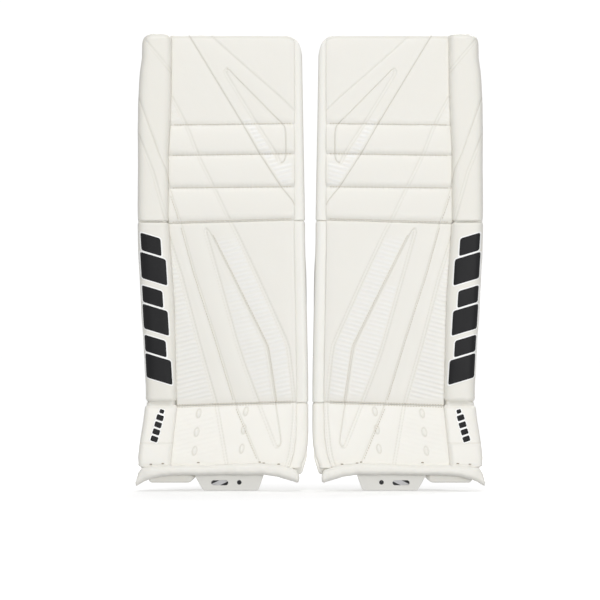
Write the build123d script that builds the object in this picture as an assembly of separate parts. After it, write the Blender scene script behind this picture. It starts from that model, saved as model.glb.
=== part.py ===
from build123d import *
import math
import os

# A pair of ice hockey goalie leg pads, standing as worn, in millimetres.
# +Z is up, -Y is the face that meets the puck, and X = 0 is the plane between the two pads.
# One pad is modelled at +X, as the wearer's left leg; the right pad is its mirror image.
# Inside this file a place across the pad is its distance from that plane ("across"),
# a place in depth is measured from the plane of the shin's face ("depth"), and
# the whole pair is moved by DEPTH_OFFSET at the end, so that the origin is centred.

# Heights of the pad
ROLL_TOP = 758.0        # top of the outer roll
FACE_TOP = 754.0        # top of the thigh panel
CUT_TOP = 770.0         # above both: strips run on to here before the silhouette cuts them
ROLL_SEAM_1 = 605.0     # thigh panel to upper knee roll
ROLL_SEAM_2 = 554.5     # upper to middle knee roll
ROLL_SEAM_3 = 500.0     # middle to lower knee roll
KNEE_BREAK = 444.0      # the thigh rise flexes here
ANKLE_BREAK = 142.0     # the boot flexes here
BOOT_SEAM = 43.0        # boot panel to toe roll
BOOT_BOTTOM = 28.0
LIP_BOTTOM = 14.0       # the outer half of the boot reaches lower, behind the toe roll

# Lean of the two flexed lengths, in degrees
THIGH_LEAN = 6.0        # backward
BOOT_KICK = 22.0        # forward

# Layers, as depths behind the face
PANEL_BACK = 14.0
CORE_FRONT = 14.5
CORE_BACK = 45.5
BOARD_FRONT = 46.0
BOARD_BACK = 50.0
LINER_FRONT = 50.5
LINER_BACK = 60.0
ROLL_FRONT = -16.0
ROLL_BACK = 50.0
TOE_ROLL_FRONT = -61.0  # these two are depths themselves, not behind the leaning face
TOE_ROLL_BACK = -33.0
KNEE_ROLL_FRONT = -5.0
KNEE_ROLL_BACK = 16.0
BLOCK_FRONT = 60.5
BLOCK_BACK = 118.0

# Widths
PANEL_INNER = 28.0
EDGE_OUTER = 27.0
PANEL_OUTER = 229.0
SEAM_GAP = 0.5          # between neighbours sewn together
BREAK_GAP = 3.0         # between the lengths at a flex break
TOP_CORNER_INNER = 24.0
TOP_CORNER_OUTER = 16.0
SOFT_EDGE = 4.0
OVERCUT = 0.4           # by which a cutting shape runs past what it cuts

# Wings and straps
WING_THICK = 12.0
WING_BOTTOM = 165.0
WING_TOP = 410.0
KNEE_WING_BOTTOM = 478.0
KNEE_WING_TOP = 598.0
STRAP_THICK = 3.0
STRAP_WIDE = 38.0
TAB_THICK = 2.0
UPPER_STRAP_Z = 340.0
LOWER_STRAP_Z = 205.0
KNEE_STRAP_Z = 520.0
BOOT_STRAP_Z = 79.0
RIVET_HEAD_R = 5.0
RIVET_HEAD_THICK = 1.8
ANCHOR_THICK = 2.4

# Toe bridge
BRIDGE_THICK = 5.0
BRIDGE_DEPTH = 17.5     # mid-plane behind the boot's face
BRIDGE_TOP = 60.0
BRIDGE_BEND = 30.0
SLOT_ACROSS = 149.7
SLOT_Z = 12.8
SLOT_LONG = 28.0
SLOT_HIGH = 8.4
HOLE_ACROSS = 117.4
HOLE_Z = 13.5
HOLE_R = 3.8
TOE_BAND_WIDE = 8.0
TOE_BAND_THICK = 1.6
TOE_BAND_LONG = 42.0
TOE_BAND_SLOPE = 26.0
TOE_BAND_BEHIND = 6.5   # clear space between the bridge and the band

# Half of the sum of the front and back limits, which centres the pair on the origin
DEPTH_OFFSET = -69.54

# Places of the turning axes, across and in depth; the wings' and straps' are in their length's own frame
KNEE_PIVOT_DEPTH = 52.0
ANKLE_PIVOT_DEPTH = 4.0
WING_HINGE = (243.0, 66.0)
CALF_STRAP_HINGE = (255.5, 122.2)
BOOT_STRAP_HINGE = (238.0, 62.3)


def face_depth(z):
    """Depth of the pad's face at height z."""
    if z > KNEE_BREAK:
        return (z - KNEE_BREAK) * math.tan(math.radians(THIGH_LEAN))
    if z < ANKLE_BREAK:
        return (z - ANKLE_BREAK) * math.tan(math.radians(BOOT_KICK))
    return 0.0


def front_prism(outline, front=-150.0, back=300.0):
    """An outline seen from the front, as (across, z) points, carried through the depth."""
    face = Face(Wire.make_polygon([(x, front, z) for x, z in outline], close=True))
    return extrude(face, amount=back - front, dir=(0, 1, 0))


def side_prism(outline, inner=-10.0, outer=320.0):
    """An outline seen from the side, as (depth, z) points, carried across the pad."""
    face = Face(Wire.make_polygon([(inner, y, z) for y, z in outline], close=True))
    return extrude(face, amount=outer - inner, dir=(1, 0, 0))


def layer(outline, front, back, soft=SOFT_EDGE):
    """A layer of the pad with that front outline, between two depths behind the leaning face."""
    low = min(z for _, z in outline) - OVERCUT
    high = max(z for _, z in outline) + OVERCUT
    side = [
        (face_depth(low) + front, low),
        (face_depth(low) + back, low),
        (face_depth(high) + back, high),
        (face_depth(high) + front, high),
    ]
    piece = front_prism(outline) & side_prism(side)
    return rounded(piece, soft)


def rounded(piece, radius):
    """Every edge of a soft piece is round."""
    return fillet(piece.edges(), radius) if radius else piece


def lean_thigh(shape):
    """Carries a shape from the upright frame to the thigh rise's lean."""
    return Rot(0, 0, 0) * shape.rotate(Axis((0, 0, KNEE_BREAK), (1, 0, 0)), -THIGH_LEAN)


def kick_boot(shape):
    """Carries a shape from the upright frame to the boot's forward kick."""
    return Rot(0, 0, 0) * shape.rotate(Axis((0, 0, ANKLE_BREAK), (1, 0, 0)), -BOOT_KICK)


def ribbon(path, radii, thick, low, high):
    """A flat band on edge: its path seen from above, with round corners, carried up from low to high."""
    line = FilletPolyline(*[(x, y, low) for x, y in path], radius=radii)
    face = Face(line.wire().offset_2d(thick / 2, kind=Kind.ARC, side=Side.BOTH))
    return extrude(face, amount=high - low, dir=(0, 0, 1))


# ---------------------------------------------------------------- thigh rise

def thigh_silhouette():
    """Outline of the whole thigh rise, with its two round top corners."""
    body = front_prism([(8.8, KNEE_BREAK), (286.0, KNEE_BREAK), (279.4, ROLL_TOP), (14.6, FACE_TOP)])
    inner, outer = body.edges().filter_by(Axis.Y).sort_by(Axis.Z)[-2:].sort_by(Axis.X)
    body = fillet(inner, TOP_CORNER_INNER)
    outer = body.edges().filter_by(Axis.Y).sort_by(Axis.Z)[-1]
    return fillet(outer, TOP_CORNER_OUTER)


def thigh_layer(outline, front, back, soft=SOFT_EDGE):
    """A layer of the thigh rise, with its top corners round."""
    return rounded(layer(outline, front, back, soft=0) & thigh_silhouette(), soft)


def thigh_panel():
    low = ROLL_SEAM_1 + SEAM_GAP
    outline = [(PANEL_INNER, low), (231.0, low), (PANEL_OUTER, CUT_TOP), (PANEL_INNER, CUT_TOP)]
    return thigh_layer(outline, 0.0, PANEL_BACK)


def knee_roll(low, high):
    outline = [(PANEL_INNER, low + SEAM_GAP), (231.5, low + SEAM_GAP), (231.0, high - SEAM_GAP), (PANEL_INNER, high - SEAM_GAP)]
    return layer(outline, KNEE_ROLL_FRONT, KNEE_ROLL_BACK, soft=6.0)


def thigh_core():
    low = KNEE_BREAK + BREAK_GAP / 2
    outline = [(PANEL_INNER, low), (232.0, low), (PANEL_OUTER, CUT_TOP), (PANEL_INNER, CUT_TOP)]
    return thigh_layer(outline, KNEE_ROLL_BACK + SEAM_GAP, BOARD_BACK, soft=2.0)


def upper_outer_roll():
    low = KNEE_BREAK + BREAK_GAP / 2
    outline = [(234.5, low), (300.0, low), (300.0, CUT_TOP), (231.5, CUT_TOP)]
    return thigh_layer(outline, ROLL_FRONT, ROLL_BACK, soft=7.0)


def upper_inner_edge():
    low = KNEE_BREAK + BREAK_GAP / 2
    outline = [(0.0, low), (EDGE_OUTER, low), (EDGE_OUTER, CUT_TOP), (0.0, CUT_TOP)]
    return thigh_layer(outline, 2.0, LINER_BACK - 2.0, soft=5.0)


def thigh_liner():
    low = KNEE_BREAK + BREAK_GAP / 2
    outline = [(PANEL_INNER, low), (250.0, low), (250.0, FACE_TOP - 6), (PANEL_INNER, FACE_TOP - 6)]
    return thigh_layer(outline, LINER_FRONT, LINER_BACK, soft=3.0)


def knee_block():
    outline = [(12.0, 462.0), (80.0, 462.0), (80.0, 598.0), (12.0, 598.0)]
    return layer(outline, BLOCK_FRONT, BLOCK_BACK, soft=9.0)


# ---------------------------------------------------------------- shin

def shin_panel():
    top = KNEE_BREAK - BREAK_GAP / 2
    low = ANKLE_BREAK + 0.5
    outline = [(24.0, low), (219.0, low), (223.0, 311.0), (232.5, top), (PANEL_INNER, top)]
    return layer(outline, 0.0, PANEL_BACK)


def shin_core():
    top = KNEE_BREAK - BREAK_GAP / 2
    low = ANKLE_BREAK + BREAK_GAP
    outline = [(24.0, low), (219.0, low), (223.0, 311.0), (232.5, top), (PANEL_INNER, top)]
    return layer(outline, CORE_FRONT, CORE_BACK, soft=2.0)


def shin_board():
    board = front_prism([(40.0, 165.0), (206.0, 165.0), (218.0, 425.0), (40.0, 425.0)], BOARD_FRONT, BOARD_BACK)
    return fillet(board.edges().filter_by(Axis.Y), 15.0)


def lower_outer_roll():
    top = KNEE_BREAK - BREAK_GAP / 2
    low = ANKLE_BREAK + 5.0
    outline = [(221.5, low), (272.5, low), (277.0, 248.0), (286.0, 400.0), (286.0, top), (234.5, top), (225.5, 311.0)]
    return layer(outline, ROLL_FRONT, ROLL_BACK, soft=7.0)


def lower_inner_edge():
    top = KNEE_BREAK - BREAK_GAP / 2
    low = ANKLE_BREAK + BREAK_GAP
    outline = [(4.0, low), (22.5, low), (EDGE_OUTER, top), (9.5, top), (5.5, 281.0)]
    return layer(outline, 2.0, LINER_BACK - 2.0, soft=5.0)


def shin_liner():
    top = KNEE_BREAK - BREAK_GAP / 2
    low = ANKLE_BREAK + BREAK_GAP
    outline = [(PANEL_INNER, low), (240.0, low), (250.0, top), (PANEL_INNER, top)]
    return layer(outline, LINER_FRONT, LINER_BACK, soft=3.0)


def calf_block():
    side = [(BLOCK_FRONT, 152.0), (BLOCK_BACK - 24.0, 152.0), (BLOCK_BACK, 190.0), (BLOCK_BACK, 405.0), (BLOCK_FRONT, 405.0)]
    outline = [(6.0, 152.0), (76.0, 152.0), (80.0, 405.0), (8.0, 405.0)]
    return rounded(front_prism(outline) & side_prism(side), 9.0)


# ---------------------------------------------------------------- boot

def boot_panel():
    outline = [(14.0, BOOT_SEAM), (230.0, BOOT_SEAM), (219.0, ANKLE_BREAK - 0.5), (6.0, ANKLE_BREAK - 0.5), (4.0, 85.0)]
    return layer(outline, 0.0, PANEL_BACK)


def boot_core():
    """The boot's foam: a lip hangs below the toe roll, and a pocket in the front takes the toe bridge."""
    top = ANKLE_BREAK - BREAK_GAP / 2
    outline = [(30.0, BOOT_BOTTOM), (196.0, BOOT_BOTTOM), (204.0, LIP_BOTTOM), (262.0, LIP_BOTTOM), (283.0, 44.0),
               (274.0, top), (6.0, top), (5.0, 64.0)]
    core = layer(outline, CORE_FRONT, LINER_BACK, soft=4.0)
    pocket = [(74.0, 0.0), (194.0, 0.0), (194.0, BRIDGE_TOP + 3), (74.0, BRIDGE_TOP + 3)]
    core -= layer(pocket, 0.0, BRIDGE_DEPTH + 4.5, soft=0)
    behind_roll = [(-10.0, 0.0), (320.0, 0.0), (320.0, BOOT_SEAM), (-10.0, BOOT_SEAM)]
    return core - front_prism(behind_roll, back=TOE_ROLL_BACK + SEAM_GAP)


def boot_outer_block():
    outline = [(231.0, BOOT_SEAM), (281.0, BOOT_SEAM), (278.0, 95.0), (270.0, ANKLE_BREAK - 1.0), (220.5, ANKLE_BREAK - 1.0)]
    return layer(outline, -11.0, PANEL_BACK, soft=6.0)


def toe_roll():
    """The roll along the boot's lower edge, which flares down to a tip at each side."""
    outline = [(284.0, 38.0), (230.0, 42.5), (60.0, 42.5), (20.0, 36.0), (18.0, 12.5), (60.0, 22.0),
               (110.0, 26.5), (200.0, 26.0), (252.0, 20.0), (290.0, 8.0)]
    return rounded(front_prism(outline, TOE_ROLL_FRONT, TOE_ROLL_BACK), 5.0)


def toe_bridge():
    half = BRIDGE_THICK / 2
    top = face_depth(BRIDGE_TOP) + BRIDGE_DEPTH
    bend = face_depth(BRIDGE_BEND) + BRIDGE_DEPTH
    side = [(bend - half, 0.0), (bend + half, 0.0), (bend + half, BRIDGE_BEND + 1),
            (top + half, BRIDGE_TOP), (top - half, BRIDGE_TOP), (bend - half, BRIDGE_BEND + 1)]
    outline = [(86.0, 0.0), (177.0, 0.0), (190.7, 24.0), (190.7, BRIDGE_TOP), (77.3, BRIDGE_TOP), (77.3, 24.0)]
    plate = front_prism(outline) & side_prism(side)
    corners = plate.edges().filter_by(Axis.Y).group_by(Axis.Z)[0]
    plate = fillet(corners, 5.0)
    slot = Plane.XZ * Pos(SLOT_ACROSS, SLOT_Z) * SlotOverall(SLOT_LONG, SLOT_HIGH)
    hole = Plane.XZ * Pos(HOLE_ACROSS, HOLE_Z) * Circle(HOLE_R)
    for cut in (slot, hole):
        plate -= extrude(cut, amount=100, both=True)
    outline_edges = plate.edges().filter_by(lambda edge: edge.bounding_box().min.Z < 0.01 and edge.length > 60)
    return chamfer(outline_edges, 1.0)


# ---------------------------------------------------------------- wings, straps and their anchors
# All of these are drawn upright, as on the shin, and then leaned with the length that carries them.

WING_PATH = [(WING_HINGE[0], WING_HINGE[1] + 1.0), (252.0, 105.0), (240.0, 148.0)]
CALF_STRAP_PATH = [CALF_STRAP_HINGE, (241.5, 172.3), (205.0, 188.0), (130.0, 186.0), (88.0, 122.0), (20.0, 122.0)]
CALF_STRAP_RADII = [25.0, 55.0, 42.0, 28.0]
BOOT_STRAP_PATH = [BOOT_STRAP_HINGE, (228.0, 128.0), (195.0, 150.0), (98.0, 150.0), (62.0, 59.6), (22.0, 59.6)]
BOOT_STRAP_RADII = [28.0, 36.0, 30.0, 16.0]


def wing(low, high):
    """A padded wing round the outer side of the leg, sewn to the liner's outer edge."""
    return rounded(ribbon(WING_PATH, [50.0], WING_THICK, low, high), 3.0)


def strap(path, radii, low, tab_from, tab_to, tab_depth):
    """An elastic strap and the stiff grip tab sewn on its free end: two solids."""
    band = ribbon(path, radii, STRAP_THICK, low, low + STRAP_WIDE)
    tab = Box(tab_to - tab_from, TAB_THICK, STRAP_WIDE + 4, align=(Align.MIN, Align.MIN, Align.MIN))
    tab = fillet(tab.edges().filter_by(Axis.Y), 8.0)
    tab = Pos(tab_from, tab_depth + STRAP_THICK / 2 + 0.1, low - 2) * tab
    return Compound(children=[band, tab])


def calf_strap(low):
    return strap(CALF_STRAP_PATH, CALF_STRAP_RADII, low, 14.0, 62.0, CALF_STRAP_PATH[-1][1])


def boot_strap():
    return strap(BOOT_STRAP_PATH, BOOT_STRAP_RADII, BOOT_STRAP_Z, 16.0, 50.0, BOOT_STRAP_PATH[-1][1])


def anchor(low):
    """The strap's sewn root on a wing: a tab of webbing lying on the wing, and its two rivets."""
    start = Vector(*CALF_STRAP_HINGE)
    along = (Vector(*CALF_STRAP_PATH[1]) - start).normalized()
    turn = math.degrees(math.atan2(-along.X, along.Y))
    tab = Box(ANCHOR_THICK, 26, STRAP_WIDE, align=(Align.CENTER, Align.MAX, Align.MIN))
    rivets = [
        Pos(ANCHOR_THICK / 2, -14, up) * Rot(0, 90, 0)
        * Cylinder(RIVET_HEAD_R, RIVET_HEAD_THICK, align=(Align.CENTER, Align.CENTER, Align.MIN))
        for up in (STRAP_WIDE * 0.27, STRAP_WIDE * 0.73)
    ]
    place = Pos(start.X, start.Y, low) * Rot(0, 0, turn) * Pos(0, -STRAP_THICK / 2 - 0.4, 0)
    return [place * piece for piece in [tab, *rivets]]


def toe_band():
    """A narrow webbing band that slants past the slot, from the boot's underside, for the toe lace."""
    depth = face_depth(BRIDGE_BEND) + BRIDGE_DEPTH + BRIDGE_THICK / 2 + TOE_BAND_BEHIND
    band = Box(TOE_BAND_LONG, TOE_BAND_THICK, TOE_BAND_WIDE, align=(Align.MAX, Align.MIN, Align.CENTER))
    band = fillet(band.edges().filter_by(Axis.Y), 2.0)
    return Pos(SLOT_ACROSS, depth, SLOT_Z) * Rot(0, TOE_BAND_SLOPE, 0) * Pos(16.0, 0, 0) * band


def boot_anchor():
    """The boot strap's root, flat on the back of the boot, and its two rivets."""
    hinge = Vector(*BOOT_STRAP_HINGE)
    tab = Box(26, ANCHOR_THICK, STRAP_WIDE, align=(Align.MIN, Align.CENTER, Align.MIN))
    rivets = [
        Pos(14, ANCHOR_THICK / 2, up) * Rot(-90, 0, 0)
        * Cylinder(RIVET_HEAD_R, RIVET_HEAD_THICK, align=(Align.CENTER, Align.CENTER, Align.MIN))
        for up in (STRAP_WIDE * 0.27, STRAP_WIDE * 0.73)
    ]
    place = Pos(hinge.X + STRAP_THICK / 2 + 0.4, hinge.Y - 5.0, BOOT_STRAP_Z)
    return [place * piece for piece in [tab, *rivets]]


# ---------------------------------------------------------------- the pad's pieces

def pad_pieces():
    """Every piece of one pad, by name."""
    return {
        "thigh_panel": thigh_panel(),
        "upper_knee_roll": knee_roll(ROLL_SEAM_2, ROLL_SEAM_1),
        "middle_knee_roll": knee_roll(ROLL_SEAM_3, ROLL_SEAM_2),
        "lower_knee_roll": knee_roll(KNEE_BREAK + BREAK_GAP / 2, ROLL_SEAM_3),
        "thigh_core": thigh_core(),
        "upper_outer_roll": upper_outer_roll(),
        "upper_inner_edge": upper_inner_edge(),
        "thigh_liner": thigh_liner(),
        "knee_block": knee_block(),
        "knee_wing": lean_thigh(wing(KNEE_WING_BOTTOM, KNEE_WING_TOP)),
        "knee_strap_anchor": lean_thigh(Compound(children=anchor(KNEE_STRAP_Z))),
        "knee_strap": lean_thigh(calf_strap(KNEE_STRAP_Z)),
        "shin_panel": shin_panel(),
        "shin_core": shin_core(),
        "shin_board": shin_board(),
        "lower_outer_roll": lower_outer_roll(),
        "lower_inner_edge": lower_inner_edge(),
        "shin_liner": shin_liner(),
        "calf_block": calf_block(),
        "calf_wing": wing(WING_BOTTOM, WING_TOP),
        "calf_strap_anchors": Compound(children=anchor(UPPER_STRAP_Z) + anchor(LOWER_STRAP_Z)),
        "upper_calf_strap": calf_strap(UPPER_STRAP_Z),
        "lower_calf_strap": calf_strap(LOWER_STRAP_Z),
        "boot_panel": boot_panel(),
        "boot_core": boot_core(),
        "boot_outer_block": boot_outer_block(),
        "toe_roll": toe_roll(),
        "toe_bridge": toe_bridge(),
        "boot_webbing": Compound(children=[kick_boot(piece) for piece in boot_anchor()] + [toe_band()]),
        "boot_strap": kick_boot(boot_strap()),
    }


os.makedirs("parts", exist_ok=True)
for name, piece in pad_pieces().items():
    left = Pos(0, DEPTH_OFFSET, 0) * piece
    export_step(left, f"parts/left_{name}.step")
    export_step(mirror(left, about=Plane.YZ), f"parts/right_{name}.step")
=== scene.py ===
import math

import bpy
import numpy as np
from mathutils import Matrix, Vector


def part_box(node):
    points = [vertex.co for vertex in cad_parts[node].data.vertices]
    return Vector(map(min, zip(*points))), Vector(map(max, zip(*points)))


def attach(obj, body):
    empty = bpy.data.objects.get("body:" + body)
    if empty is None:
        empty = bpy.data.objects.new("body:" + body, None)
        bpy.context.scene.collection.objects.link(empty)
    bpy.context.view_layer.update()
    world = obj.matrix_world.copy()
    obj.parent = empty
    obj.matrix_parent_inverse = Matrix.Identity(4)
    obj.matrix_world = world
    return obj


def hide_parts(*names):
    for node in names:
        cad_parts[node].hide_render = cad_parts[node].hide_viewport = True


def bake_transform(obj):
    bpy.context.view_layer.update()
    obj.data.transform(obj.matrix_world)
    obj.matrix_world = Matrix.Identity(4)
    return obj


# The pads' looks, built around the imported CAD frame.
# One pad's pieces are made as points (across, depth, z) in millimetres: "across" is the distance from the
# plane between the pads and "depth" is measured back from the shin's face. Each is then placed twice,
# at -X for the right pad and at +X for the left one.

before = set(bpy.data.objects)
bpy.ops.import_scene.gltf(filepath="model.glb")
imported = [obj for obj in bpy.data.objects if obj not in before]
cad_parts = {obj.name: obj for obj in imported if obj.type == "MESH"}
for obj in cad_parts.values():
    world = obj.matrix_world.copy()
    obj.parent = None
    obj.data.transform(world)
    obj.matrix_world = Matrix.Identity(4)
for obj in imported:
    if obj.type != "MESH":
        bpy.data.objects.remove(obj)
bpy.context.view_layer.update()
MM = 0.001
FACE_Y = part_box("left_shin_panel")[0].y / MM
SIDES = (("right", -1.0), ("left", 1.0))

# Heights
ROLL_TOP = 757.6
FACE_TOP = 754.0
KNEE_BREAK = 444.0
ANKLE_BREAK = 142.0
BOOT_SEAM = 43.0
ROLL_SEAMS = (605.0, 554.5, 500.0, KNEE_BREAK)
THIGH_LEAN, BOOT_KICK = 6.0, 22.0  # degrees
THIGH_SLOPE, BOOT_SLOPE = (math.tan(math.radians(angle)) for angle in (THIGH_LEAN, BOOT_KICK))
TOP_CORNER = 28.0


# ---------------------------------------------------------------- small tools

def table(rows):
    """A function that reads a value between rows of (z, value)."""
    rows = sorted(rows)
    places = np.array([r[0] for r in rows])
    values = np.array([r[1] for r in rows])
    return lambda z: np.interp(z, places, values)


OUTER = table([(756, 279.4), (716, 279.4), (693, 282.7), (673, 284.4), (633, 286.0), (414, 286.0), (315, 281.0),
               (248, 276.9), (175, 272.9), (155, 272.7), (135, 274.0), (115, 276.3), (95, 279.4), (75, 282.5),
               (55, 284.4), (40, 283.5)])
ROLL_EDGE = table([(757, 229.6), (663, 229.6), (605, 231.9), (555, 234.1), (444, 234.1), (431, 232.9), (311, 224.4),
                   (145, 220.6), (141, 220.6), (42, 230.7)])
STRIP_EDGE = table([(757, 26.4), (444, 26.4), (431, 27.4), (148, 22.4), (90, 24.0), (60, 28.0), (42, 34.0)])
INNER = table([(757, 14.2), (630, 12.1), (447, 8.8), (414, 8.8), (281, 5.5), (182, 3.6), (99, 3.4), (75, 4.4),
               (55, 8.0), (42, 14.0)])


def lean(z):
    """Depth of the pad's face at height z."""
    z = np.asarray(z, float)
    return np.maximum(z - KNEE_BREAK, 0) * THIGH_SLOPE + np.minimum(z - ANKLE_BREAK, 0) * BOOT_SLOPE


def span(low, high):
    """Two edges that don't change along their length."""
    return lambda x: (low + 0 * x, high + 0 * x)


def level(depth):
    """The same depth everywhere."""
    return lambda s, z: depth + 0 * s


def behind(depth):
    """That far behind the face, which leans."""
    return lambda s, z: lean(z) + depth


def step_up(x, low, high):
    """Rises smoothly from 0 at low to 1 at high."""
    t = np.clip((x - low) / (high - low), 0, 1)
    return t * t * (3 - 2 * t)


def crown(x, power):
    """1 in the middle of a span from 0 to 1, falling to 0 at its ends."""
    return 1 - np.abs(2 * np.clip(x, 0, 1) - 1) ** power


def ripple(s, z, scale, seed):
    """Smooth, irregular values of about -1 to 1."""
    rng = np.random.default_rng(seed)
    total = np.zeros(np.broadcast(s, z).shape)
    for _ in range(7):
        turn, phase = rng.uniform(0, 2 * math.pi, 2)
        size = rng.uniform(0.6, 1.7) * 2 * math.pi / scale
        total += np.sin(size * (s * math.cos(turn) + z * math.sin(turn)) + phase)
    return total / 4


def spread(length, step, low, high):
    """Places along a length, close together over the round of each end."""
    first, last = (3 if r < 2 else 6 for r in (low, high))
    start = [low * (1 - math.cos(math.pi / 2 * k / first)) for k in range(first)]
    end = [length - high * (1 - math.cos(math.pi / 2 * k / last)) for k in reversed(range(last))]
    count = max(2, int(round((length - low - high) / step)) + 1)
    return np.concatenate([start, np.linspace(low, length - high, count), end])


def to_line(s, z, points):
    """How far each place is from a line, on which side (1 is outward), and how far along it."""
    near, side, along = np.full(s.shape, 1e9), np.zeros(s.shape), np.zeros(s.shape)
    run = 0.0
    for (s0, z0), (s1, z1) in zip(points, points[1:]):
        ds, dz = s1 - s0, z1 - z0
        length = math.hypot(ds, dz)
        t = np.clip(((s - s0) * ds + (z - z0) * dz) / length**2, 0, 1)
        d = np.hypot(s - s0 - t * ds, z - z0 - t * dz)
        closer = d < near
        near = np.where(closer, d, near)
        side = np.where(closer, np.sign(ds * (z - z0) - dz * (s - s0)), side)
        along = np.where(closer, run + t * length, along)
        run += length
    return near, side, along


def soften(points, rounds=3):
    """Cuts a line's corners until it is smooth. Its ends stay."""
    for _ in range(rounds):
        cut = [points[0]]
        for a, b in zip(points, points[1:]):
            cut.append(tuple(0.8 * p + 0.2 * q for p, q in zip(a, b)))
            cut.append(tuple(0.2 * p + 0.8 * q for p, q in zip(a, b)))
        points = cut + [points[-1]]
    return points


# ---------------------------------------------------------------- meshes

def grid_faces(rows, columns, first=0, wrap=False):
    """Quads between the rows of a grid of points."""
    last = columns if wrap else columns - 1
    j, i = np.meshgrid(np.arange(rows - 1), np.arange(last), indexing="ij")
    n = (i + 1) % columns
    quads = np.stack([j * columns + i, j * columns + n, (j + 1) * columns + n, (j + 1) * columns + i], -1)
    return [tuple(q) for q in (quads.reshape(-1, 4) + first).tolist()]


def slab(s_of, z_of, front, back, step=1.5, edge=4.0, drop=None, back_drop=None, full_back=False, mark=None):
    """A padded panel between side lines s_of(z) and end lines z_of(s), with its front and back as depths.
    front, back and mark take arrays of across and z. mark says how deep in a seam a place is, from 0 to 1, as
    painted shade.
    edge is the rounding, the same all round or (inner, outer, low, high), and drop and back_drop are how far
    the front and the back fall over it."""
    inner, outer, bottom, top = edge if isinstance(edge, tuple) else (edge,) * 4
    s_lo, s_hi = (float(np.mean(x)) for x in s_of(np.array([np.mean(z_of(np.array([150.0])))])))
    z_lo, z_hi = (float(np.mean(x)) for x in z_of(np.array([(s_lo + s_hi) / 2])))
    u = spread(s_hi - s_lo, step, inner, outer) / (s_hi - s_lo)
    v = spread(z_hi - z_lo, step, bottom, top) / (z_hi - z_lo)
    u, v = np.meshgrid(u, v)
    z = z_lo + v * (z_hi - z_lo)
    for _ in range(3):
        left, right = s_of(z)
        s = left + u * (right - left)
        low, high = z_of(s)
        z = low + v * (high - low)
    near_inner, near_low = u < 0.5, v < 0.5
    side, end = np.where(near_inner, inner, outer), np.where(near_low, bottom, top)
    a = np.clip(1 - np.minimum(s - left, right - s) / side, 0, 1)
    b = np.clip(1 - np.minimum(z - low, high - z) / end, 0, 1)
    q = np.hypot(a, b)
    over = np.maximum(q, 1)
    s = s + np.where(near_inner, 1, -1) * side * (a - a / over)
    z = z + np.where(near_low, 1, -1) * end * (b - b / over)
    size = (a * side + b * end) / np.maximum(a + b, 1e-6)
    fall = 1 - np.sqrt(1 - np.minimum(q, 1) ** 2)
    rows, columns = s.shape
    face = np.stack([s, front(s, z) + fall * (size if drop is None else drop), z], -1).reshape(-1, 3)
    rear = np.stack([s, back(s, z) - fall * (size if back_drop is None else back_drop), z], -1).reshape(-1, 3)
    seam = (mark(s, z) if mark else np.zeros(s.shape)).reshape(-1)
    order = np.arange(rows * columns).reshape(rows, columns)
    ring = np.concatenate([order[0, :-1], order[:-1, -1], order[-1, :0:-1], order[:0:-1, 0]])
    faces = grid_faces(rows, columns)
    n = rows * columns
    if full_back:
        verts = np.concatenate([face, rear])
        faces += [tuple(reversed(f)) for f in grid_faces(rows, columns, n)]
        rim = ring + n
        seam = np.concatenate([seam, seam])
    else:
        verts = np.concatenate([face, rear[ring]])
        rim = np.arange(len(ring)) + n
        faces.append(tuple(reversed(rim.tolist())))
        seam = np.concatenate([seam, np.zeros(len(ring))])
    nxt, rim_nxt = np.roll(ring, -1), np.roll(rim, -1)
    faces += [tuple(q) for q in np.stack([ring, rim, rim_nxt, nxt], -1).tolist()]
    return {"v": verts, "f": faces, "seam": seam}


def oval(power, ratio, count):
    """A round-cornered unit outline whose points are evenly spaced when it is ratio times as wide as high."""
    t = np.linspace(0, 2 * math.pi, 4001)
    x = np.sign(np.cos(t)) * np.abs(np.cos(t)) ** (2 / power)
    y = np.sign(np.sin(t)) * np.abs(np.sin(t)) ** (2 / power)
    run = np.concatenate([[0], np.cumsum(np.hypot(np.diff(x) * ratio, np.diff(y)))])
    at = np.linspace(0, run[-1], count + 1)[:-1]
    return np.interp(at, run, x), np.interp(at, run, y)


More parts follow.
